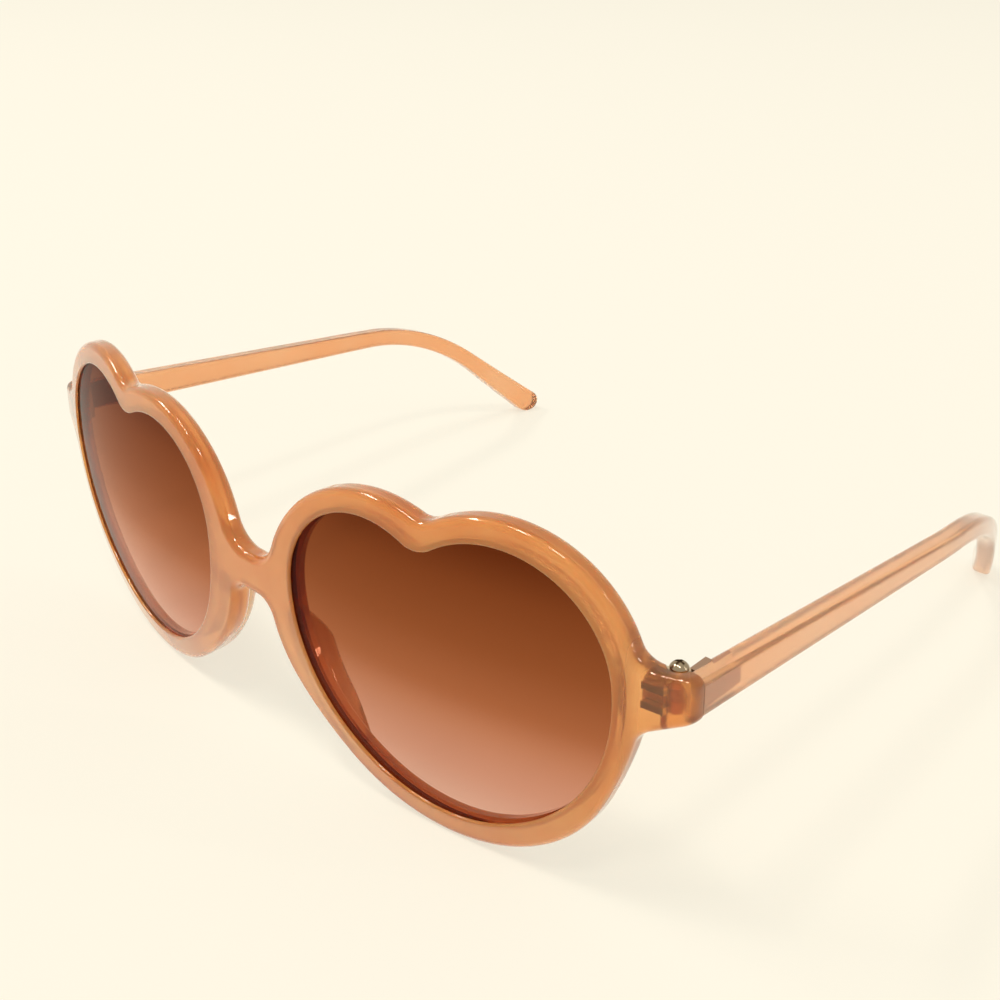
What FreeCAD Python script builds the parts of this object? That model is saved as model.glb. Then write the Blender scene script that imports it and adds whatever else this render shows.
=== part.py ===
"""Heart shaped sunglasses: a curved front with two gradient lenses and two folding temples.

X runs to the wearer's left, Y backwards and Z upwards from the table. The origin is on the
table, midway between the foremost point of the front and the ends of the temples. The left
half is modelled and mirrored.
"""
import FreeCAD
import Part
import Sketcher
import math
import os

from FreeCAD import Vector

# Driving dimensions, in millimetres.
SIZES = {
    # Whole object
    "half_depth": 62.2,
    # Front plate: straight in the middle, curved back in plan and bowed from top to bottom
    "front_thickness": 3.4,
    "plan_flat": 11.8,
    "plan_radius": 153.0,
    "bow_radius": 142.0,
    "bow_height": 28.9,
    "edge_radius": 1.1,
    # Lens opening: two lobes, a round chin, flanks between them and a notch on top
    "nasal_lobe_x": 24.3,
    "nasal_lobe_z": 31.4,
    "nasal_lobe_radius": 14.7,
    "outer_lobe_x": 44.3,
    "outer_lobe_z": 32.1,
    "outer_lobe_radius": 15.7,
    "chin_x": 34.6,
    "chin_radius": 22.6,
    "flank_radius": 27.4,
    "notch_radius": 4.6,
    "opening_edge_radius": 0.3,
    # Rim around the opening, wider towards the nose
    "rim_width": 3.4,
    "chin_width": 4.0,
    "nasal_width": 6.7,
    "nasal_shift": 1.0,
    "nasal_drop": 3.35,
    "rim_flank_radius": 60.0,
    "rim_notch_radius": 3.9,
    # Bridge
    "bridge_low": 26.0,
    "bridge_top": 32.1,
    "bridge_low_blend": 3.0,
    "bridge_top_blend": 5.0,
    # End piece that reaches out from the rim to the hinge
    "lug_top": 37.1,
    "lug_low": 31.3,
    "lug_reach": 6.0,
    "lug_root_inset": 2.0,
    "lug_root_low": 25.8,
    "lug_blend": 3.6,
    "lug_corner": 2.4,
    "butt_y": 13.25,
    "butt_gap": 0.15,
    # Nose pad: a fin that follows the rim, long at its root, leaning out to a short narrow crest
    "pad_shift": 3.9,
    "pad_root_y": 2.8,
    "pad_root_bend": 22.6,
    "pad_root_top": 25.0,
    "pad_root_end": 5.4,
    "pad_root_radius": 1.5,
    "pad_shoulder_y": 6.2,
    "pad_shoulder_bend": 22.4,
    "pad_shoulder_top": 20.8,
    "pad_shoulder_end": 9.6,
    "pad_shoulder_radius": 1.3,
    "pad_crest_y": 7.2,
    "pad_crest_bend": 22.2,
    "pad_crest_top": 19.4,
    "pad_crest_end": 12.4,
    "pad_crest_radius": 0.4,
    # Lens
    "lens_thickness": 1.8,
    "lens_setback": 0.45,
    "groove_depth": 0.7,
    "groove_clearance": 0.05,
    # Hinge
    "hinge_inset": 3.7,
    "hinge_y": 13.4,
    "hinge_base": 31.6,
    "knuckle_radius": 1.35,
    "knuckle_height": 1.6,
    "knuckle_gap": 0.06,
    "hinge_clearance": 0.25,
    "seat_clearance": 0.03,
    "leaf_thickness": 1.0,
    "front_leaf_length": 3.6,
    "prong_reach": 1.3,
    "prong_length": 3.0,
    "prong_height": 0.9,
    "prong_inset": 0.1,
    "prong_base": 31.65,
    "prong_pitch": 2.65,
    "temple_leaf_length": 8.8,
    "temple_leaf_height": 3.0,
    "temple_leaf_base": 31.6,
    "temple_leaf_neck": 4.8,
    "temple_leaf_drop": 0.45,
    # Hinge screw
    "shank_radius": 0.6,
    "shank_clearance": 0.04,
    "head_radius": 1.15,
    "head_height": 1.15,
    "head_rim": 0.45,
    "recess_reach": 0.65,
    "recess_half_width": 0.17,
    "recess_depth": 0.4,
    # Temple
    "temple_thickness": 3.2,
    "temple_top": 36.5,
    "temple_low": 31.3,
    "temple_edge_radius": 0.8,
    "drop_length": 19.8,
    "bend_crest": 28.6,
    "bend_radius": 47.3,
    "bend_height": 3.55,
    "tip_radius": 2.5,
    "tuck_reach": 47.4,
    "tuck_radius": 110.0,
    # Block that the curved pieces are cut from
    "block_depth": 30.0,
    "block_width": 110.0,
    "block_top": 60.0,
    "block_margin": 6.0,
}

# Limits for picking edges: how near counts as on a surface or beside a plane, in millimetres, how
# much of a tangent may point aside on an edge that runs back, and the angle of a sharp edge.
ON_SURFACE = 0.01
BESIDE_PLANE = 0.1
RUNS_ASIDE = 0.02
SHARP_ANGLE = math.radians(8)

doc = FreeCAD.newDocument("heart_sunglasses")
sheet = doc.addObject("Spreadsheet::Sheet", "Sizes")
for row, (size, number) in enumerate(SIZES.items(), start=1):
    sheet.set(f"A{row}", size)
    sheet.set(f"B{row}", str(number))
    sheet.setAlias(f"B{row}", size)
doc.recompute()


def formula(terms):
    """The sum of the named sizes as an expression; a leading minus subtracts a size."""
    signed = [f"-Sizes.{term[1:]}" if term[0] == "-" else f"+Sizes.{term}" for term in terms.split()]
    return "".join(signed).lstrip("+")


def amount(terms):
    """The same sum as a number."""
    return sum(-SIZES[term[1:]] if term[0] == "-" else SIZES[term] for term in terms.split())


def bind(item, **properties):
    """Bind properties to sums of sizes; a double underscore in a name stands for a dot."""
    for name, terms in properties.items():
        item.setExpression(name.replace("__", "."), formula(terms))


def place(item, x, y, z):
    """Bind the place of a primitive."""
    bind(item, Placement__Base__x=x, Placement__Base__y=y, Placement__Base__z=z)


# Sums that several pieces share: the outer face of the temples, the root of the end piece, the
# hinge axis, the height of the knuckles, the base of the middle one, the front of the front leaf
# and the places of its prongs.
HALF_WIDTH = "outer_lobe_x outer_lobe_radius rim_width lug_reach"
LUG_ROOT_X = "outer_lobe_x outer_lobe_radius -lug_root_inset"
HINGE_X = f"{HALF_WIDTH} -hinge_inset"
STACK = "knuckle_height knuckle_gap knuckle_height knuckle_gap knuckle_height"
MIDDLE_BASE = "hinge_base knuckle_height knuckle_gap"
LEAF_FRONT = "hinge_y -knuckle_radius -half_depth"
PRONG_X = f"{HINGE_X} -prong_inset -prong_length"
PRONGS = (("lower_prong", "prong_base"), ("upper_prong", "prong_base prong_pitch"))


def new_body(label):
    return doc.addObject("PartDesign::Body", label)


def origin_plane(body, role):
    return next(item for item in body.Origin.OriginFeatures if item.Role == role)


def new_sketch(body, name, plane, offset=""):
    """A sketch on one of the body's own origin planes, moved along its normal by a sum of sizes."""
    sketch = body.newObject("Sketcher::SketchObject", name)
    sketch.AttachmentSupport = [(origin_plane(body, plane), "")]
    sketch.MapMode = "FlatFace"
    if offset:
        bind(sketch, AttachmentOffset__Base__z=offset)
    return sketch


def measure(sketch, terms, *constraint):
    """Add a dimension and bind it to a sum of sizes."""
    index = sketch.addConstraint(Sketcher.Constraint(*constraint, amount(terms)))
    sketch.setExpression(f"Constraints[{index}]", formula(terms))


def locate(sketch, item, point, across, up):
    """Fix a point by its distances from the sketch origin; an empty distance puts it on the axis."""
    if across:
        measure(sketch, across, "DistanceX", -1, 1, item, point)
    else:
        sketch.addConstraint(Sketcher.Constraint("PointOnObject", item, point, -2))
    if up:
        measure(sketch, up, "DistanceY", -1, 1, item, point)
    else:
        sketch.addConstraint(Sketcher.Constraint("PointOnObject", item, point, -1))


def polygon(sketch, corners):
    """A closed outline of straight lines between corners given as sums of sizes."""
    points = [Vector(amount(across), amount(up), 0) for across, up in corners]
    for start, end in zip(points, points[1:] + points[:1]):
        sketch.addGeometry(Part.LineSegment(start, end))
    count = len(points)
    for line, (across, up) in enumerate(corners):
        sketch.addConstraint(Sketcher.Constraint("Coincident", line, 2, (line + 1) % count, 1))
        locate(sketch, line, 1, across, up)


def arc(center, start, end):
    """A sketch arc that runs anticlockwise from start to end."""
    first = math.atan2(start.y - center.y, start.x - center.x)
    last = math.atan2(end.y - center.y, end.x - center.x)
    circle = Part.Circle(center, Vector(0, 0, 1), center.distanceToPoint(start))
    return Part.ArcOfCircle(circle, first, last if last > first else last + 2 * math.pi)


def meet(first, first_distance, second, second_distance, side):
    """The point at given distances from two others, left (1) or right (-1) of the line between them."""
    line = second - first
    span = line.Length
    along = (span ** 2 + first_distance ** 2 - second_distance ** 2) / (2 * span)
    aside = math.sqrt(first_distance ** 2 - along ** 2)
    line.normalize()
    return first + line * along + Vector(-line.y, line.x, 0) * aside * side


def toward(center, radius, other):
    """The point of a circle that lies towards another point, or away from it for a negative radius."""
    step = other - center
    step.normalize()
    return center + step * radius


def heart(sketch, nasal, outer, chin, flank, notch):
    """A heart of tangent arcs; a lobe or chin is its centre across, its centre up and its radius."""
    nasal_at, outer_at, chin_at = (Vector(amount(c[0]), amount(c[1]), 0) for c in (nasal, outer, chin))
    nasal_r, outer_r, chin_r = (amount(circle[2]) for circle in (nasal, outer, chin))
    flank_r = amount(flank)
    notch_r = amount(notch)
    nasal_flank = meet(nasal_at, flank_r - nasal_r, chin_at, flank_r - chin_r, 1)
    outer_flank = meet(outer_at, flank_r - outer_r, chin_at, flank_r - chin_r, -1)
    notch_at = meet(nasal_at, nasal_r + notch_r, outer_at, outer_r + notch_r, 1)
    chin_nasal = toward(chin_at, -chin_r, nasal_flank)
    chin_outer = toward(chin_at, -chin_r, outer_flank)
    lobe_nasal = toward(nasal_at, -nasal_r, nasal_flank)
    lobe_outer = toward(outer_at, -outer_r, outer_flank)
    notch_nasal = toward(nasal_at, nasal_r, notch_at)
    notch_outer = toward(outer_at, outer_r, notch_at)
    sketch.addGeometry([
        arc(chin_at, chin_nasal, chin_outer),
        arc(outer_flank, chin_outer, lobe_outer),
        arc(outer_at, lobe_outer, notch_outer),
        arc(notch_at, notch_nasal, notch_outer),
        arc(nasal_at, notch_nasal, lobe_nasal),
        arc(nasal_flank, lobe_nasal, chin_nasal),
    ])
    joints = [(0, 2, 1, 1), (1, 2, 2, 1), (2, 2, 3, 2), (3, 1, 4, 1), (4, 2, 5, 1), (5, 2, 0, 1)]
    for joint in joints:
        sketch.addConstraint(Sketcher.Constraint("Tangent", *joint))
    for index, terms in enumerate((chin[2], flank, outer[2], notch, nasal[2], flank)):
        measure(sketch, terms, "Radius", index)
    for index, circle in ((0, chin), (2, outer), (4, nasal)):
        locate(sketch, index, 3, circle[0], circle[1])


def opening_heart(sketch, grow):
    """The outline of the lens opening, grown evenly by a sum of sizes."""
    shrink = " ".join(f"-{term}" for term in grow.split())
    heart(
        sketch,
        ("nasal_lobe_x", "nasal_lobe_z", f"nasal_lobe_radius {grow}"),
        ("outer_lobe_x", "outer_lobe_z", f"outer_lobe_radius {grow}"),
        ("chin_x", "chin_radius chin_width", f"chin_radius {grow}"),
        f"flank_radius {grow}",
        f"notch_radius {shrink}",
    )


def block(body, name, sketch):
    """A block behind an outline that lies in front of the foremost point."""
    feature = body.newObject("PartDesign::Pad", name)
    feature.Profile = sketch
    feature.Reversed = True
    bind(feature, Length="block_depth")
    return feature


def pocket(body, name, sketch):
    """A cut right through the body, to both sides of its sketch."""
    feature = body.newObject("PartDesign::Pocket", name)
    feature.Profile = sketch
    feature.SideType = "Symmetric"
    feature.Type = "ThroughAll"
    return feature


def plan_curve(body):
    """The path of the front in plan: straight from the middle, then curved back."""
    sketch = new_sketch(body, "plan_curve", "XY_Plane")
    flat = amount("plan_flat")
    radius = amount("plan_radius")
    front = -amount("half_depth")
    sweep = math.asin((amount("block_width") - flat) / radius)
    center = Vector(flat, front + radius, 0)
    end = center + Vector(radius * math.sin(sweep), -radius * math.cos(sweep), 0)
    sketch.addGeometry(Part.LineSegment(Vector(0, front, 0), Vector(flat, front, 0)))
    sketch.addGeometry(arc(center, Vector(flat, front, 0), end))
    sketch.addConstraint(Sketcher.Constraint("Tangent", 0, 2, 1, 1))
    sketch.addConstraint(Sketcher.Constraint("Horizontal", 0))
    locate(sketch, 0, 1, "", "-half_depth")
    measure(sketch, "plan_flat", "DistanceX", -1, 1, 0, 2)
    measure(sketch, "plan_radius", "Radius", 1)
    measure(sketch, "block_width", "DistanceX", -1, 1, 1, 2)
    return sketch


def trim(body, name, spine, depth, side):
    """Cut away what lies beyond a surface at a depth under the front, before (-1) or behind (1) it."""
    sketch = new_sketch(body, f"{name}_profile", "YZ_Plane")
    radius = amount("bow_radius") - amount(depth)
    center = Vector(amount("bow_radius -half_depth"), amount("bow_height"), 0)
    top, low = amount("block_top"), -amount("block_margin")
    far_terms = "block_depth -half_depth" if side > 0 else "-block_depth -half_depth"
    far = amount(far_terms)
    arc_top = Vector(center.x - math.sqrt(radius ** 2 - (top - center.y) ** 2), top, 0)
    arc_low = Vector(center.x - math.sqrt(radius ** 2 - (low - center.y) ** 2), low, 0)
    sketch.addGeometry(arc(center, arc_top, arc_low))
    corners = [arc_low, Vector(far, low, 0), Vector(far, top, 0), arc_top]
    for start, end in zip(corners, corners[1:]):
        sketch.addGeometry(Part.LineSegment(start, end))
    for first, second in ((0, 1), (1, 2), (2, 3), (3, 0)):
        sketch.addConstraint(Sketcher.Constraint("Coincident", first, 2, second, 1))
    sketch.addConstraint(Sketcher.Constraint("Horizontal", 1))
    sketch.addConstraint(Sketcher.Constraint("Vertical", 2))
    sketch.addConstraint(Sketcher.Constraint("Horizontal", 3))
    locate(sketch, 0, 3, "bow_radius -half_depth", "bow_height")
    deeper = " ".join(f"-{term}" if term[0] != "-" else term[1:] for term in depth.split())
    measure(sketch, f"bow_radius {deeper}", "Radius", 0)
    locate(sketch, 2, 1, far_terms, "-block_margin")
    measure(sketch, "block_top", "DistanceY", -1, 1, 2, 2)
    feature = body.newObject("PartDesign::SubtractivePipe", name)
    feature.Profile = sketch
    feature.Spine = (spine, ["Edge1", "Edge2"])
    return feature


def skin_depth(point):
    """How deep a point lies under the curved front surface."""
    axis_y = amount("plan_radius -half_depth")
    reach = math.hypot(max(point.x - amount("plan_flat"), 0), axis_y - point.y)
    bow_center = amount("plan_radius -bow_radius")
    return amount("bow_radius") - math.hypot(reach - bow_center, point.z - amount("bow_height"))


def is_sharp(shape, edge):
    """Whether the two faces beside an edge meet at an angle."""
    middle = edge.valueAt((edge.FirstParameter + edge.LastParameter) / 2)
    faces = shape.ancestorsOfType(edge, Part.Face)
    normals = [face.normalAt(*face.Surface.parameter(middle)) for face in faces]
    return len(normals) == 2 and normals[0].getAngle(normals[1]) > SHARP_ANGLE


def fillet(body, name, radius, wanted):
    """Round the sharp edges of the body whose middle point is wanted."""
    doc.recompute()
    base = body.Tip
    names = []
    for number, edge in enumerate(base.Shape.Edges, start=1):
        middle = edge.valueAt((edge.FirstParameter + edge.LastParameter) / 2)
        if wanted(middle, edge) and is_sharp(base.Shape, edge):
            names.append(f"Edge{number}")
    feature = body.newObject("PartDesign::Fillet", name)
    feature.Base = (base, names)
    bind(feature, Radius=radius)
    return feature


def box(body, kind, name, corner, sides):
    """A box, added to the body or cut from it."""
    feature = body.newObject(f"PartDesign::{kind}Box", name)
    bind(feature, Length=sides[0], Width=sides[1], Height=sides[2])
    place(feature, *corner)
    return feature


def post(body, kind, name, radius, base, height):
    """An upright cylinder about the hinge axis, added to the body or cut from it."""
    feature = body.newObject(f"PartDesign::{kind}Cylinder", name)
    bind(feature, Radius=radius, Height=height)
    place(feature, HINGE_X, "hinge_y -half_depth", base)
    return feature


def mirror(source, label):
    """The same piece on the wearer's right."""
    feature = doc.addObject("Part::Mirroring", label)
    feature.Source = source
    feature.Normal = Vector(1, 0, 0)
    return feature


def front_sketch(body, name):
    """A sketch in front of the foremost point, seen from the front."""
    return new_sketch(body, name, "XZ_Plane", "half_depth block_margin")


def lens_body(label, clearance=""):
    """A curved heart cut from a block; the groove that holds the lens is the same shape, grown."""
    body = new_body(label)
    outline = front_sketch(body, "outline")
    opening_heart(outline, f"groove_depth {clearance}")
    block(body, "block", outline)
    spine = plan_curve(body)
    inset = " ".join(f"-{term}" for term in clearance.split())
    trim(body, "front_curve", spine, f"lens_setback {inset}", -1)
    trim(body, "back_curve", spine, f"lens_setback lens_thickness {clearance}", 1)
    return body


def nose_pad_section(body, name, level):
    """A section of the nose pad: a slot bent along the rim, between two heights."""
    sketch = new_sketch(body, name, "XZ_Plane", f"half_depth -{level}_y")
    center = Vector(amount("chin_x -pad_shift"), amount("chin_radius chin_width"), 0)
    bend = amount(f"{level}_bend")
    half = amount(f"{level}_radius")

    def on_bend(height, radius):
        rise = amount(height) - center.y
        spoke = Vector(-math.sqrt(bend ** 2 - rise ** 2), rise, 0)
        return center + spoke * (radius / bend)

    top = f"{level}_top"
    end = f"{level}_end"
    sketch.addGeometry([
        arc(center, on_bend(top, bend + half), on_bend(end, bend + half)),
        arc(on_bend(end, bend), on_bend(end, bend + half), on_bend(end, bend - half)),
        arc(center, on_bend(top, bend - half), on_bend(end, bend - half)),
        arc(on_bend(top, bend), on_bend(top, bend - half), on_bend(top, bend + half)),
    ])
    for joint in ((0, 2, 1, 1), (1, 2, 2, 2), (2, 1, 3, 1), (3, 2, 0, 1)):
        sketch.addConstraint(Sketcher.Constraint("Tangent", *joint))
    sketch.addConstraint(Sketcher.Constraint("Coincident", 2, 3, 0, 3))
    locate(sketch, 0, 3, "chin_x -pad_shift", "chin_radius chin_width")
    measure(sketch, f"{level}_bend {level}_radius", "Radius", 0)
    measure(sketch, f"{level}_radius", "Radius", 1)
    measure(sketch, end, "DistanceY", -1, 1, 1, 3)
    measure(sketch, top, "DistanceY", -1, 1, 3, 3)
    return sketch


def front_body():
    """The front moulding: rims, bridge, end pieces and nose pads, before the lens grooves are cut."""
    body = new_body("front_moulding")
    rim = front_sketch(body, "rim_outline")
    heart(
        rim,
        ("nasal_lobe_x nasal_shift", "nasal_lobe_z -nasal_drop", "nasal_lobe_radius nasal_width"),
        ("outer_lobe_x", "outer_lobe_z", "outer_lobe_radius rim_width"),
        ("chin_x", "chin_radius chin_width", "chin_radius chin_width"),
        "rim_flank_radius",
        "rim_notch_radius",
    )
    block(body, "rim", rim)
    bridge = front_sketch(body, "bridge_outline")
    polygon(bridge, [
        ("", "bridge_low"),
        ("nasal_lobe_x", "bridge_low"),
        ("nasal_lobe_x", "bridge_top"),
        ("", "bridge_top"),
    ])
    block(body, "bridge", bridge)
    lug = front_sketch(body, "lug_outline")
    polygon(lug, [
        (LUG_ROOT_X, "lug_root_low"),
        (HALF_WIDTH, "lug_low"),
        (HALF_WIDTH, "lug_top"),
        (LUG_ROOT_X, "lug_top"),
    ])
    block(body, "lug", lug)

    def runs_back(edge):
        tangent = edge.tangentAt(edge.FirstParameter)
        return math.hypot(tangent.x, tangent.z) < RUNS_ASIDE

    def beside_bridge(middle, edge):
        return runs_back(edge) and BESIDE_PLANE < middle.x < amount("nasal_lobe_x")

    def under_bridge(middle, edge):
        return beside_bridge(middle, edge) and middle.z < amount("bridge_low") + BESIDE_PLANE

    def over_bridge(middle, edge):
        return beside_bridge(middle, edge) and middle.z > amount("bridge_top") - BESIDE_PLANE

    def beside_lug(middle, edge):
        return runs_back(edge) and amount(LUG_ROOT_X) < middle.x < amount(HALF_WIDTH) - BESIDE_PLANE

    fillet(body, "bridge_low_blends", "bridge_low_blend", under_bridge)
    fillet(body, "bridge_top_blends", "bridge_top_blend", over_bridge)
    fillet(body, "lug_blends", "lug_blend", beside_lug)
    opening = front_sketch(body, "opening_outline")
    opening_heart(opening, "")
    pocket(body, "opening", opening)
    spine = plan_curve(body)
    trim(body, "front_curve", spine, "", -1)
    trim(body, "back_curve", spine, "front_thickness", 1)

    def on_skin(middle):
        depth = skin_depth(middle)
        off_skin = min(abs(depth), abs(depth - amount("front_thickness")))
        return middle.x > BESIDE_PLANE and off_skin < ON_SURFACE

    def in_opening(middle):
        across = middle.x - amount("chin_x")
        up = middle.z - amount("chin_radius chin_width")
        return math.hypot(across, up) < amount("flank_radius")

    def lug_corner_edge(middle, edge):
        at_end = middle.x > amount(HALF_WIDTH) - BESIDE_PLANE
        return at_end and abs(skin_depth(middle)) < ON_SURFACE

    def outer_edge(middle, edge):
        return on_skin(middle) and not in_opening(middle)

    def inner_edge(middle, edge):
        return on_skin(middle) and in_opening(middle)

    fillet(body, "lug_corner_rounding", "lug_corner", lug_corner_edge)
    fillet(body, "outer_edges", "edge_radius", outer_edge)
    fillet(body, "inner_edges", "opening_edge_radius", inner_edge)
    nose_pad = body.newObject("PartDesign::AdditiveLoft", "nose_pad")
    nose_pad.Profile = nose_pad_section(body, "nose_pad_root", "pad_root")
    nose_pad.Sections = [
        nose_pad_section(body, "nose_pad_shoulder", "pad_shoulder"),
        nose_pad_section(body, "nose_pad_crest", "pad_crest"),
    ]
    box(body, "Subtractive", "butt_face",
        (HINGE_X, "butt_y -half_depth", "lug_root_low"),
        ("block_margin", "block_margin", "block_top"))
    box(body, "Subtractive", "hinge_seat",
        (f"{HINGE_X} -front_leaf_length -seat_clearance",
         f"{LEAF_FRONT} -seat_clearance",
         "hinge_base -seat_clearance"),
        ("front_leaf_length seat_clearance", "block_margin", f"{STACK} seat_clearance seat_clearance"))
    post(body, "Subtractive", "knuckle_room", "knuckle_radius hinge_clearance", "lug_root_low", "block_top")
    for name, base in PRONGS:
        box(body, "Subtractive", f"{name}_slot",
            (f"{PRONG_X} -seat_clearance",
             f"{LEAF_FRONT} -prong_reach -seat_clearance",
             f"{base} -seat_clearance"),
            ("prong_length seat_clearance seat_clearance",
             "prong_reach seat_clearance",
             "prong_height seat_clearance seat_clearance"))
    whole = body.newObject("PartDesign::Mirrored", "both_halves")
    whole.TransformMode = "Whole shape"
    whole.MirrorPlane = (origin_plane(body, "YZ_Plane"), [""])
    body.Tip = whole
    return body


def front_piece():
    """The front moulding with a groove for each lens."""
    groove = lens_body("lens_groove_left", "groove_clearance")
    grooves = doc.addObject("Part::Compound", "lens_grooves")
    grooves.Links = [groove, mirror(groove, "lens_groove_right")]
    piece = doc.addObject("Part::Cut", "frame_front")
    piece.Base = front_body()
    piece.Tool = grooves
    return piece


def front_hinge():
    """The front leaf of the hinge: a plate with two prongs forward and a knuckle at each end."""
    body = new_body("front_hinge_left")
    box(body, "Additive", "plate",
        (f"{HINGE_X} -front_leaf_length", LEAF_FRONT, "hinge_base"),
        ("front_leaf_length", "leaf_thickness", STACK))
    post(body, "Additive", "barrel", "knuckle_radius", "hinge_base", STACK)
    for name, base in PRONGS:
        box(body, "Additive", name,
            (PRONG_X, f"{LEAF_FRONT} -prong_reach", base),
            ("prong_length", "prong_reach leaf_thickness", "prong_height"))
    post(body, "Subtractive", "middle_knuckle_room", "knuckle_radius hinge_clearance",
         "hinge_base knuckle_height", "knuckle_height knuckle_gap knuckle_gap")
    post(body, "Subtractive", "bore", "shank_radius shank_clearance", "hinge_base", STACK)
    return body


def temple_hinge():
    """The temple leaf of the hinge: an anchor plate, a neck and the middle knuckle."""
    body = new_body("temple_hinge_left")
    leaf_x = f"{HINGE_X} knuckle_radius -leaf_thickness"
    clear_y = "hinge_y knuckle_radius hinge_clearance -half_depth"
    post(body, "Additive", "knuckle", "knuckle_radius", MIDDLE_BASE, "knuckle_height")
    box(body, "Additive", "tongue",
        (leaf_x, "hinge_y -half_depth", MIDDLE_BASE),
        ("leaf_thickness", "temple_leaf_neck", "knuckle_height"))
    box(body, "Additive", "neck",
        (leaf_x, clear_y, "temple_leaf_base"),
        ("leaf_thickness",
         "temple_leaf_neck -knuckle_radius -hinge_clearance",
         "temple_top -temple_leaf_drop -temple_leaf_base"))
    box(body, "Additive", "anchor",
        (leaf_x, clear_y, "temple_leaf_base"),
        ("leaf_thickness", "temple_leaf_length -knuckle_radius -hinge_clearance", "temple_leaf_height"))
    post(body, "Subtractive", "bore", "shank_radius shank_clearance", MIDDLE_BASE, "knuckle_height")
    return body


def hinge_screw():
    """The hinge pin: a shank with a domed, cross recessed head that rests on the top knuckle."""
    body = new_body("hinge_screw_left")
    sketch = new_sketch(body, "profile", "XZ_Plane", "half_depth -hinge_y")
    bind(sketch, AttachmentOffset__Base__x=HINGE_X)
    top = f"hinge_base {STACK}"
    corners = [
        ("", f"{top} head_height"),
        ("", "hinge_base"),
        ("shank_radius", "hinge_base"),
        ("shank_radius", top),
        ("head_radius", top),
        ("head_radius", f"{top} head_rim"),
    ]
    points = [Vector(amount(across), amount(up), 0) for across, up in corners]
    rise = amount("head_height -head_rim")
    dome = (amount("head_radius") ** 2 + rise ** 2) / (2 * rise)
    for start, end in zip(points, points[1:]):
        sketch.addGeometry(Part.LineSegment(start, end))
    sketch.addGeometry(arc(points[0] - Vector(0, dome, 0), points[-1], points[0]))
    for line, (across, up) in enumerate(corners):
        locate(sketch, line, 1, across, up)
    for line in range(len(corners) - 1):
        sketch.addConstraint(Sketcher.Constraint("Coincident", line, 2, line + 1, 1))
    sketch.addConstraint(Sketcher.Constraint("Coincident", 5, 2, 0, 1))
    sketch.addConstraint(Sketcher.Constraint("PointOnObject", 5, 3, -2))
    turned = body.newObject("PartDesign::Revolution", "turned")
    turned.Profile = sketch
    turned.ReferenceAxis = (sketch, ["V_Axis"])
    turned.Angle = 360
    recess_base = f"{top} head_height -recess_depth"
    long_side = "recess_reach recess_reach"
    short_side = "recess_half_width recess_half_width"
    box(body, "Subtractive", "recess_across",
        (f"{HINGE_X} -recess_reach", "hinge_y -half_depth -recess_half_width", recess_base),
        (long_side, short_side, "recess_depth"))
    box(body, "Subtractive", "recess_along",
        (f"{HINGE_X} -recess_half_width", "hinge_y -half_depth -recess_reach", recess_base),
        (short_side, long_side, "recess_depth"))
    return body


def temple_outline(body):
    """The temple from the side: a taper from the hinge, the ear bend and a drop to a round tip."""
    sketch = new_sketch(body, "side_outline", "YZ_Plane")
    root_y = "butt_y butt_gap -half_depth"
    root_top = Vector(amount(root_y), amount("temple_top"), 0)
    root_low = Vector(amount(root_y), amount("temple_low"), 0)
    upper = amount("bend_radius")
    lower = amount("bend_radius -bend_height")
    tip = Vector(amount("half_depth -tip_radius"), amount("tip_radius"), 0)
    tip_r = amount("tip_radius")
    bend_z = amount("bend_crest -bend_radius")
    tip_span = math.hypot(upper - tip_r, amount("drop_length"))
    bend = Vector(tip.x - math.sqrt(tip_span ** 2 - (tip.y - bend_z) ** 2), bend_z, 0)

    def touch(center, radius, point, side):
        return meet(center, radius, point, math.sqrt((point - center).Length ** 2 - radius ** 2), side)

    upper_out = touch(bend, upper - tip_r, tip, 1) - bend
    upper_out.normalize()
    lower_out = touch(bend, lower + tip_r, tip, 1) - bend
    lower_out.normalize()
    upper_root = touch(bend, upper, root_top, -1)
    lower_root = touch(bend, lower, root_low, -1)
    upper_drop = bend + upper_out * upper
    lower_drop = bend + lower_out * lower
    tip_top = tip + upper_out * tip_r
    tip_low = tip - lower_out * tip_r
    sketch.addGeometry([
        Part.LineSegment(root_top, root_low),
        Part.LineSegment(root_low, lower_root),
        arc(bend, lower_drop, lower_root),
        Part.LineSegment(lower_drop, tip_low),
        arc(tip, tip_low, tip_top),
        Part.LineSegment(tip_top, upper_drop),
        arc(bend, upper_drop, upper_root),
        Part.LineSegment(upper_root, root_top),
    ])
    sketch.addConstraint(Sketcher.Constraint("Coincident", 7, 2, 0, 1))
    sketch.addConstraint(Sketcher.Constraint("Coincident", 0, 2, 1, 1))
    for joint in ((1, 2, 2, 2), (2, 1, 3, 1), (3, 2, 4, 1), (4, 2, 5, 1), (5, 2, 6, 1), (6, 2, 7, 1)):
        sketch.addConstraint(Sketcher.Constraint("Tangent", *joint))
    sketch.addConstraint(Sketcher.Constraint("Vertical", 0))
    locate(sketch, 0, 1, root_y, "temple_top")
    measure(sketch, "temple_low", "DistanceY", -1, 1, 0, 2)
    measure(sketch, "bend_crest -bend_radius", "DistanceY", -1, 1, 6, 3)
    measure(sketch, "drop_length", "Distance", 5)
    sketch.addConstraint(Sketcher.Constraint("Coincident", 2, 3, 6, 3))
    measure(sketch, "bend_radius", "Radius", 6)
    measure(sketch, "bend_radius -bend_height", "Radius", 2)
    locate(sketch, 4, 3, "half_depth -tip_radius", "tip_radius")
    measure(sketch, "tip_radius", "Radius", 4)
    return sketch


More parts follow.
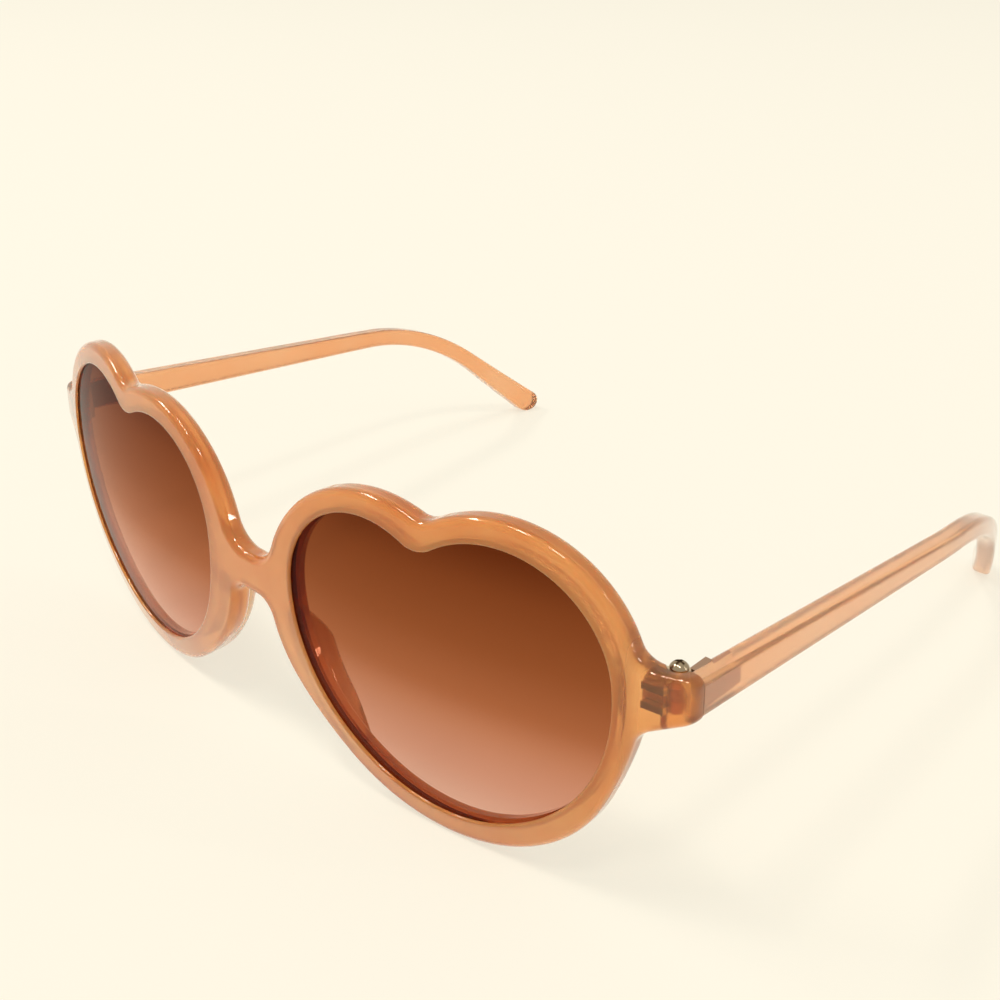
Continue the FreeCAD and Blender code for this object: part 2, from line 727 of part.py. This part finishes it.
def temple_face(body, name, face, far):
    """Cut the temple back to a side face that is straight and then tucks in behind the ear."""
    sketch = new_sketch(body, f"{name}_plan", "XY_Plane")
    face_x = amount(face)
    far_x = amount(far)
    start_y = -amount("half_depth")
    tuck_y = amount("half_depth -tuck_reach")
    end_y = amount("half_depth block_margin")
    center = Vector(amount(f"{HALF_WIDTH} -tuck_radius"), tuck_y, 0)
    radius = face_x - center.x
    end = Vector(center.x + math.sqrt(radius ** 2 - (end_y - tuck_y) ** 2), end_y, 0)
    sketch.addGeometry([
        Part.LineSegment(Vector(face_x, start_y, 0), Vector(face_x, tuck_y, 0)),
        arc(center, Vector(face_x, tuck_y, 0), end),
        Part.LineSegment(end, Vector(far_x, end_y, 0)),
        Part.LineSegment(Vector(far_x, end_y, 0), Vector(far_x, start_y, 0)),
        Part.LineSegment(Vector(far_x, start_y, 0), Vector(face_x, start_y, 0)),
    ])
    sketch.addConstraint(Sketcher.Constraint("Tangent", 0, 2, 1, 1))
    for first, second in ((1, 2), (2, 3), (3, 4), (4, 0)):
        sketch.addConstraint(Sketcher.Constraint("Coincident", first, 2, second, 1))
    sketch.addConstraint(Sketcher.Constraint("Vertical", 0))
    sketch.addConstraint(Sketcher.Constraint("Horizontal", 2))
    sketch.addConstraint(Sketcher.Constraint("Horizontal", 4))
    locate(sketch, 0, 1, face, "-half_depth")
    locate(sketch, 1, 3, f"{HALF_WIDTH} -tuck_radius", "half_depth -tuck_reach")
    measure(sketch, far, "DistanceX", -1, 1, 3, 2)
    sketch.addConstraint(Sketcher.Constraint("Vertical", 3))
    measure(sketch, "half_depth block_margin", "DistanceY", -1, 1, 3, 1)
    return pocket(body, name, sketch)


def temple():
    """The side arm: its side outline cut to its plan, rounded, with a seat for the hinge leaf."""
    body = new_body("temple_left")
    arm = body.newObject("PartDesign::Pad", "arm")
    arm.Profile = temple_outline(body)
    bind(arm, Length=f"{HALF_WIDTH} block_margin")
    temple_face(body, "outer_face", HALF_WIDTH, f"{HALF_WIDTH} block_depth")
    temple_face(body, "inner_face", f"{HALF_WIDTH} -temple_thickness", "-block_margin")

    def behind_root(middle, edge):
        return middle.y > amount("butt_y butt_gap -half_depth") + BESIDE_PLANE

    fillet(body, "long_edges", "temple_edge_radius", behind_root)
    leaf_x = f"{HINGE_X} knuckle_radius -leaf_thickness -seat_clearance"
    leaf_width = "leaf_thickness seat_clearance seat_clearance"
    box(body, "Subtractive", "neck_seat",
        (leaf_x, "hinge_y -half_depth", "temple_leaf_base -seat_clearance"),
        (leaf_width, "temple_leaf_neck seat_clearance", "block_margin"))
    box(body, "Subtractive", "anchor_seat",
        (leaf_x, "hinge_y -half_depth", "temple_leaf_base -seat_clearance"),
        (leaf_width,
         "temple_leaf_length seat_clearance",
         "temple_leaf_height seat_clearance seat_clearance"))
    post(body, "Subtractive", "knuckle_room", "knuckle_radius hinge_clearance", "lug_root_low", "block_top")
    return body


pieces = [front_piece()]
for make in (lambda: lens_body("lens_left"), temple, front_hinge, temple_hinge, hinge_screw):
    left = make()
    pieces.append(left)
    pieces.append(mirror(left, left.Label.replace("left", "right")))

doc.recompute()
failed = [item.Label for item in doc.Objects if "Invalid" in item.State or "Error" in item.State]
failed += [piece.Label for piece in pieces if piece.Shape.isNull() or not piece.Shape.isValid()]
if failed:
    raise SystemExit(f"not built: {failed}")
os.makedirs("parts", exist_ok=True)
for piece in pieces:
    piece.Shape.exportStep(f"parts/{piece.Label}.step")
    print(piece.Label, len(piece.Shape.Solids), round(piece.Shape.Volume, 1))
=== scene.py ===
import math

import bpy
from mathutils import Matrix, Vector


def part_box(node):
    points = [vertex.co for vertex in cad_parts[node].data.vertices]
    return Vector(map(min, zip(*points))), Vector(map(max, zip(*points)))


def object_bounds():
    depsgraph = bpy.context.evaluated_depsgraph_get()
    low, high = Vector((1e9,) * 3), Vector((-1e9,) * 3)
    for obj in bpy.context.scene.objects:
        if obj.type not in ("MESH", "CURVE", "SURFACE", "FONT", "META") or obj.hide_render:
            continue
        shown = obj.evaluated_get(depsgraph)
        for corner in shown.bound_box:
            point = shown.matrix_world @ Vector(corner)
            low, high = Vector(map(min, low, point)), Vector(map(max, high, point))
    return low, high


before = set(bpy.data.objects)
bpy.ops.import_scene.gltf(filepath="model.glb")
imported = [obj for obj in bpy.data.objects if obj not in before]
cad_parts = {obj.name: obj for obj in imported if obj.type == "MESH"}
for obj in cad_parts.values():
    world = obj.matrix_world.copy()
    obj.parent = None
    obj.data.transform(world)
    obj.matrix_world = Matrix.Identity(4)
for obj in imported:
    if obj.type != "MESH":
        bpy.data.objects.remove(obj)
cad_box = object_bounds()

# Front moulding: one piece of polished caramel plastic that carries both rims, the bridge, the
# nose pads and the end pieces. It is moulded in one shot and is clear enough to show the metal sunk
# into it, with soft clouds of a deeper tone where the plastic flowed.
FRONT_LIGHT = (0.88, 0.365, 0.092, 1)
FRONT_DEEP = (0.80, 0.255, 0.044, 1)
FRONT_CLEAR = 0.55
PLASTIC_IOR = 1.49
MILKY_SHARE = 0.8
SCATTER_SHARES = (1.0, 0.6, 0.35)
SCATTER_LENGTH = 0.0018
SKIN_ROUGHNESS = 0.02
CLOUD_SCALE = 60
CLOUD_DETAIL = 3
DEEP_STOP = 0.35
LIGHT_STOP = 0.65
POLISH_SCALE = 420
POLISH_DETAIL = 4
BEST_POLISH = 0.14
WORST_POLISH = 0.26
WAVE_STRENGTH = 0.04
WAVE_HEIGHT = 0.0004


def new_finish(name):
    """A bare material and the sockets of its shader."""
    material = bpy.data.materials.new(name)
    material.use_nodes = True
    return material, material.node_tree.nodes["Principled BSDF"].inputs


def mottle(material, scale, detail):
    """A soft, uneven pattern all through a piece."""
    place = material.node_tree.nodes.new("ShaderNodeTexCoord")
    pattern = material.node_tree.nodes.new("ShaderNodeTexNoise")
    pattern.inputs["Scale"].default_value = scale
    pattern.inputs["Detail"].default_value = detail
    material.node_tree.links.new(place.outputs["Object"], pattern.inputs["Vector"])
    return pattern.outputs["Fac"]


def spread(material, value, start, end, first=0.0, last=1.0, easing="LINEAR"):
    """Stretch a value between two limits onto another pair of limits."""
    step = material.node_tree.nodes.new("ShaderNodeMapRange")
    step.interpolation_type = easing
    for slot, limit in zip(("From Min", "From Max", "To Min", "To Max"), (start, end, first, last)):
        step.inputs[slot].default_value = limit
    material.node_tree.links.new(value, step.inputs["Value"])
    return step.outputs["Result"]


def plastic(name, light, deep, clear):
    """A polished, hazy plastic: two tones in soft clouds, an uneven polish and a glossy skin."""
    material, sockets = new_finish(name)
    nodes = material.node_tree.nodes
    links = material.node_tree.links
    sockets["IOR"].default_value = PLASTIC_IOR
    sockets["Transmission Weight"].default_value = clear
    sockets["Subsurface Weight"].default_value = MILKY_SHARE
    sockets["Subsurface Radius"].default_value = SCATTER_SHARES
    sockets["Subsurface Scale"].default_value = SCATTER_LENGTH
    sockets["Specular Tint"].default_value = light
    sockets["Coat Weight"].default_value = 1.0
    sockets["Coat Roughness"].default_value = SKIN_ROUGHNESS
    clouds = mottle(material, CLOUD_SCALE, CLOUD_DETAIL)
    tones = nodes.new("ShaderNodeValToRGB")
    deep_end, light_end = tones.color_ramp.elements
    deep_end.position = DEEP_STOP
    deep_end.color = deep
    light_end.position = LIGHT_STOP
    light_end.color = light
    links.new(clouds, tones.inputs["Fac"])
    links.new(tones.outputs["Color"], sockets["Base Color"])
    polish = mottle(material, POLISH_SCALE, POLISH_DETAIL)
    links.new(spread(material, polish, 0.0, 1.0, BEST_POLISH, WORST_POLISH), sockets["Roughness"])
    waves = nodes.new("ShaderNodeBump")
    waves.inputs["Strength"].default_value = WAVE_STRENGTH
    waves.inputs["Distance"].default_value = WAVE_HEIGHT
    links.new(clouds, waves.inputs["Height"])
    links.new(waves.outputs["Normal"], sockets["Normal"])
    return material


FRONT_FACE = -0.0622
FLAT_HALF = 0.0118
PLAN_RADIUS = 0.153
BOW_RADIUS = 0.142
BOW_HEIGHT = 0.0289
PALE_BEHIND = (0.99, 0.62, 0.31, 1)
PALE_START = 0.0016
PALE_END = 0.0048
BLEND_FROM = 6
BLEND_TO = 7
BLEND_RESULT = 2


def place_in(material):
    """Where a point of a piece lies: X across, Y back and Z up."""
    place = material.node_tree.nodes.new("ShaderNodeTexCoord")
    spot = material.node_tree.nodes.new("ShaderNodeSeparateXYZ")
    material.node_tree.links.new(place.outputs["Object"], spot.inputs["Vector"])
    return spot.outputs


def reckon(material, operation, first, second):
    """Add one step of arithmetic to a material, between sockets or plain sizes."""
    step = material.node_tree.nodes.new("ShaderNodeMath")
    step.operation = operation
    for slot, value in zip(step.inputs, (first, second)):
        if isinstance(value, float):
            slot.default_value = value
        else:
            material.node_tree.links.new(value, slot)
    return step.outputs["Value"]


def tint(material, share, colour):
    """Blend a colour into the tone of a piece, by a share that changes from place to place."""
    links = material.node_tree.links
    tone = material.node_tree.nodes["Principled BSDF"].inputs["Base Color"]
    blend = material.node_tree.nodes.new("ShaderNodeMix")
    blend.data_type = "RGBA"
    links.new(share, blend.inputs["Factor"])
    links.new(tone.links[0].from_socket, blend.inputs[BLEND_FROM])
    blend.inputs[BLEND_TO].default_value = colour
    links.new(blend.outputs[BLEND_RESULT], tone)


def pale_behind(material):
    """Thin the tone of the moulding with depth behind its curved front face, as in lips and pads."""
    spot = place_in(material)
    aside = reckon(material, "ABSOLUTE", spot["X"], 0.0)
    past_flat = reckon(material, "MAXIMUM", reckon(material, "SUBTRACT", aside, FLAT_HALF), 0.0)
    plan = reckon(material, "DIVIDE", reckon(material, "POWER", past_flat, 2.0), 2 * PLAN_RADIUS)
    rise = reckon(material, "SUBTRACT", spot["Z"], BOW_HEIGHT)
    bow = reckon(material, "DIVIDE", reckon(material, "MULTIPLY", rise, rise), 2 * BOW_RADIUS)
    behind = reckon(material, "SUBTRACT", spot["Y"], FRONT_FACE)
    depth = reckon(material, "SUBTRACT", reckon(material, "SUBTRACT", behind, plan), bow)
    tint(material, spread(material, depth, PALE_START, PALE_END, easing="SMOOTHSTEP"), PALE_BEHIND)


def dress(node, material):
    """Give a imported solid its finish."""
    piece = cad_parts[node]
    piece.data.materials.clear()
    piece.data.materials.append(material)


caramel_plastic = plastic("caramel_plastic", FRONT_LIGHT, FRONT_DEEP, FRONT_CLEAR)
pale_behind(caramel_plastic)
dress("frame_front", caramel_plastic)

# Lenses: thin curved plastic, dyed by dipping, dark brown along the top and fading to a rosy tan
# at the bottom; the darkest band at the very top is partly painted shade of the rim. Each is
# snapped into the groove of its rim, and its edge faces are darkened as painted shade of the groove.
LENS_TINTS = (
    (0.03, (0.86, 0.52, 0.42, 1)),
    (0.20, (0.71, 0.35, 0.25, 1)),
    (0.38, (0.54, 0.22, 0.125, 1)),
    (0.48, (0.41, 0.135, 0.056, 1)),
    (0.66, (0.29, 0.082, 0.026, 1)),
    (0.84, (0.215, 0.053, 0.014, 1)),
    # Darkest stop: the dye, with painted shade of the rim added along the very top.
    (0.97, (0.12, 0.022, 0.004, 1)),
)
SPARE_STOP = 0.5
LENS_IOR = 1.09
WIPE_SCALE = 90
WIPE_DETAIL = 4
WIPE_START = 0.45
WIPE_HAZE = 0.03
PAINTED_GROOVE_SHADE = (0.13, 0.026, 0.007, 1)
EDGE_SLOPE = 0.4
FACE_SLOPE = 0.75


def lens_tint():
    """Clear plastic with a dye that thins from the top edge to the bottom edge."""
    material, sockets = new_finish("dipped_lens")
    nodes = material.node_tree.nodes
    links = material.node_tree.links
    sockets["IOR"].default_value = LENS_IOR
    sockets["Transmission Weight"].default_value = 1.0
    wipes = mottle(material, WIPE_SCALE, WIPE_DETAIL)
    links.new(spread(material, wipes, WIPE_START, 1.0, 0.0, WIPE_HAZE), sockets["Roughness"])
    low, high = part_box("lens_left")
    height = spread(material, place_in(material)["Z"], low.z, high.z)
    dye_and_rim_shade = nodes.new("ShaderNodeValToRGB")
    stops = dye_and_rim_shade.color_ramp.elements
    while len(stops) < len(LENS_TINTS):
        stops.new(SPARE_STOP)
    for stop, (position, colour) in zip(stops, LENS_TINTS):
        stop.position = position
        stop.color = colour
    links.new(height, dye_and_rim_shade.inputs["Fac"])
    links.new(dye_and_rim_shade.outputs["Color"], sockets["Base Color"])
    surface = nodes.new("ShaderNodeNewGeometry")
    facing = nodes.new("ShaderNodeSeparateXYZ")
    links.new(surface.outputs["Normal"], facing.inputs["Vector"])
    slope = reckon(material, "ABSOLUTE", facing.outputs["Y"], 0.0)
    # Painted shade: faces that stand edge-on to the front are darkened, for the shade in the groove.
    tint(material, spread(material, slope, EDGE_SLOPE, FACE_SLOPE, 1.0, 0.0), PAINTED_GROOVE_SHADE)
    return material


dipped_lens = lens_tint()
dress("lens_left", dipped_lens)
dress("lens_right", dipped_lens)

# Hinge leaves: stamped nickel plated steel, sunk into the plastic of the end pieces and temples,
# with knuckles that interlock round a screw. The plastic round the two prongs of a front leaf is
# painted dark brown, as painted shade where the metal prongs darken the clear plastic.
TEMPLE_LEAF = (0.42, 0.265, 0.19, 1)
FRONT_LEAF = (0.66, 0.52, 0.37, 1)
LEAF_ROUGHNESS = 0.3
STREAK_SCALE = 2600
STREAK_DETAIL = 5
SMOOTHEST = 0.7
ROUGHEST = 1.4
END_CLEAR = 0.88
CLEAR_FADE = 0.002
PRONG_SHADE_BROWN = (0.04, 0.016, 0.005, 1)
PRONG_SHADE_MARGIN = Vector((0.0001, 0.0001, 0.0001))
PRONG_START = 0.0005
PRONG_SIZE = Vector((0.003, 0.0013, 0.0009))
PRONG_BASES = (0.00005, 0.0027)


def nickel(name, colour, rough):
    """Plated metal with the fine streaks of a tumbled stamping."""
    material, sockets = new_finish(name)
    sockets["Base Color"].default_value = colour
    sockets["Metallic"].default_value = 1.0
    streaks = mottle(material, STREAK_SCALE, STREAK_DETAIL)
    satin = spread(material, streaks, 0.0, 1.0, rough * SMOOTHEST, rough * ROUGHEST)
    material.node_tree.links.new(satin, sockets["Roughness"])
    return material


def paint_prong_shade(material, low, high):
    """Paint shade into the moulding inside a box in the left end piece and its mirror in the right
    one.
    """
    spot = place_in(material)
    aside = reckon(material, "ABSOLUTE", spot["X"], 0.0)
    inside = 1.0
    for along, near, far in zip((aside, spot["Y"], spot["Z"]), low, high):
        past_near = reckon(material, "GREATER_THAN", along, near)
        before_far = reckon(material, "LESS_THAN", along, far)
        between = reckon(material, "MULTIPLY", past_near, before_far)
        inside = reckon(material, "MULTIPLY", inside, between)
    tint(material, inside, PRONG_SHADE_BROWN)


def clear_ends(material, start, end):
    """Make the moulding clearer towards its ends, where less of the milky filler is carried."""
    aside = reckon(material, "ABSOLUTE", place_in(material)["X"], 0.0)
    clear = spread(material, aside, start, end, FRONT_CLEAR, END_CLEAR, "SMOOTHSTEP")
    sockets = material.node_tree.nodes["Principled BSDF"].inputs
    material.node_tree.links.new(clear, sockets["Transmission Weight"])


leaf_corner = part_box("front_hinge_left")[0]
clear_ends(caramel_plastic, leaf_corner.x - CLEAR_FADE, leaf_corner.x)
# Painted shade: the plastic round each prong is darkened where the metal shows dark through it.
for base in PRONG_BASES:
    prong = leaf_corner + Vector((PRONG_START, 0, base))
    paint_prong_shade(caramel_plastic, prong - PRONG_SHADE_MARGIN, prong + PRONG_SIZE + PRONG_SHADE_MARGIN)

temple_leaf = nickel("temple_leaf_nickel", TEMPLE_LEAF, LEAF_ROUGHNESS)
front_leaf = nickel("front_leaf_nickel", FRONT_LEAF, LEAF_ROUGHNESS)
for side in ("left", "right"):
    dress(f"front_hinge_{side}", front_leaf)
    dress(f"temple_hinge_{side}", temple_leaf)

# Hinge screws: steel with a bright nickel plate, a domed head and a cross recess. Each is turned in
# from above and is the pin that its temple folds on.
SCREW_NICKEL = (0.34, 0.27, 0.19, 1)
SCREW_ROUGHNESS = 0.15
screw_nickel = nickel("screw_nickel", SCREW_NICKEL, SCREW_ROUGHNESS)
for side in ("left", "right"):
    dress(f"hinge_screw_{side}", screw_nickel)

# Temples: the plastic of the front in a paler and clearer tone, made to a taper and bent down and
# in behind the ear. The hinge leaf sunk into its end joins each one to the front.
TEMPLE_LIGHT = (0.99, 0.53, 0.27, 1)
TEMPLE_DEEP = (0.98, 0.46, 0.20, 1)
TEMPLE_CLEAR = 0.83
peach_plastic = plastic("peach_plastic", TEMPLE_LIGHT, TEMPLE_DEEP, TEMPLE_CLEAR)
for side in ("left", "right"):
    dress(f"temple_{side}", peach_plastic)

# Table: a smooth, cream painted top, far larger than the glasses, which stand loose on it. To the
# eye, in gloss and through clear pieces it glows, so it looks pale and still keeps their soft shadow.
TABLE_CREAM = (0.955, 0.90, 0.765, 1)
TABLE_GLOW = (0.99, 0.94, 0.795, 1)
TABLE_ROUGHNESS = 0.6
GLOW_SHARE = 0.7
TABLE_REACH = 12.0


def seen_share(tree):
    """One for rays from the eye, from gloss and through clear pieces, and nothing for the rest."""
    rays = tree.nodes.new("ShaderNodeLightPath")
    seen = rays.outputs["Is Camera Ray"]
    for kind in ("Is Glossy Ray", "Is Transmission Ray"):
        either = tree.nodes.new("ShaderNodeMath")
        either.operation = "ADD"
        either.use_clamp = True
        for slot, ray in zip(either.inputs, (seen, rays.outputs[kind])):
            tree.links.new(ray, slot)
        seen = either.outputs["Value"]
    return seen


def show(tree, share, lit, shown, surface):
    """Join the surface that light falls on and the one that is seen."""
    mix = tree.nodes.new("ShaderNodeMixShader")
    for slot, feed in zip(mix.inputs, (share, lit, shown)):
        tree.links.new(feed, slot)
    tree.links.new(mix.outputs["Shader"], surface)


bpy.ops.mesh.primitive_plane_add(size=2 * TABLE_REACH, location=(0, 0, cad_box[0][2]))
table = bpy.context.object
table.name = "table"
cream, cream_sockets = new_finish("cream_table")
cream_sockets["Base Color"].default_value = TABLE_CREAM
cream_sockets["Roughness"].default_value = TABLE_ROUGHNESS
cream_sockets["Specular IOR Level"].default_value = 0.0
glow = cream.node_tree.nodes.new("ShaderNodeEmission")
glow.inputs["Color"].default_value = TABLE_GLOW
show(
    cream.node_tree,
    reckon(cream, "MULTIPLY", seen_share(cream.node_tree), GLOW_SHARE),
    cream.node_tree.nodes["Principled BSDF"].outputs["BSDF"],
    glow.outputs["Emission"],
    cream.node_tree.nodes["Material Output"].inputs["Surface"],
)
table.data.materials.append(cream)

# Room: pale walls and a ceiling all round, which light the glasses evenly. A lamp on the left, two
# ceiling lights and a tall, thin window behind on the right give the bright streaks.
ROOM = (1.0, 0.985, 0.96, 1)
ROOM_LEVEL = 0.56
WALL = (0.87, 0.825, 0.70, 1)
LAMP_WHITE = (1.0, 0.97, 0.92)
LAMP_AIM = Vector((0, 0, 0.02))
LAMPS = (
    ("lamp_left", (-1.58, -0.74, 1.93), (0.8, 0.22), 15.0),
    ("ceiling_left", (-0.45, -0.7, 2.5), (0.7, 0.22), 15.0),
    ("ceiling_right", (0.75, -0.75, 2.4), (0.5, 0.3), 11.0),
    ("window", (1.96, 1.04, 0.90), (0.04, 1.5), 5.0),
)
world = bpy.data.worlds.new("room")
world.use_nodes = True
room_light = world.node_tree.nodes["Background"]
room_light.inputs["Color"].default_value = ROOM
room_light.inputs["Strength"].default_value = ROOM_LEVEL
wall = world.node_tree.nodes.new("ShaderNodeBackground")
wall.inputs["Color"].default_value = WALL
show(
    world.node_tree,
    seen_share(world.node_tree),
    room_light.outputs["Background"],
    wall.outputs["Background"],
    world.node_tree.nodes["World Output"].inputs["Surface"],
)
bpy.context.scene.world = world


def lamp(name, place, size, power):
    """A flat, oblong light that faces the glasses and can't be seen through clear pieces."""
    light = bpy.data.lights.new(name, "AREA")
    light.shape = "RECTANGLE"
    light.size, light.size_y = size
    light.energy = power
    light.color = LAMP_WHITE
    holder = bpy.data.objects.new(name, light)
    holder.location = place
    holder.rotation_euler = (LAMP_AIM - Vector(place)).to_track_quat("-Z", "Y").to_euler()
    holder.visible_transmission = False
    bpy.context.scene.collection.objects.link(holder)


for name, place, size, power in LAMPS:
    lamp(name, place, size, power)

# Camera: a still camera with an ordinary lens, held above the wearer's left end piece and looking
# across the front. A small shift of the lens sets the framing.
CAMERA_PLACE = (0.1364, -0.1523, 0.1218)
AZIMUTH = math.radians(43.159)
ELEVATION = math.radians(23.658)
ROLL = math.radians(-0.4)
SENSOR_WIDTH = 36
FOCAL_LENGTH = 45.95
SHIFT_ACROSS = -0.0114
SHIFT_UP = -0.0751
NEAR_LIMIT = 0.01
optics = bpy.data.cameras.new("camera")
optics.sensor_width = SENSOR_WIDTH
optics.lens = FOCAL_LENGTH
optics.shift_x = SHIFT_ACROSS
optics.shift_y = SHIFT_UP
optics.clip_start = NEAR_LIMIT
camera = bpy.data.objects.new("camera", optics)
camera.matrix_world = (
    Matrix.Translation(CAMERA_PLACE)
    @ Matrix.Rotation(AZIMUTH, 4, "Z")
    @ Matrix.Rotation(math.pi / 2 - ELEVATION, 4, "X")
    @ Matrix.Rotation(ROLL, 4, "Z")
)
bpy.context.scene.collection.objects.link(camera)
bpy.context.scene.camera = camera
bpy.context.scene.view_settings.view_transform = "Standard"
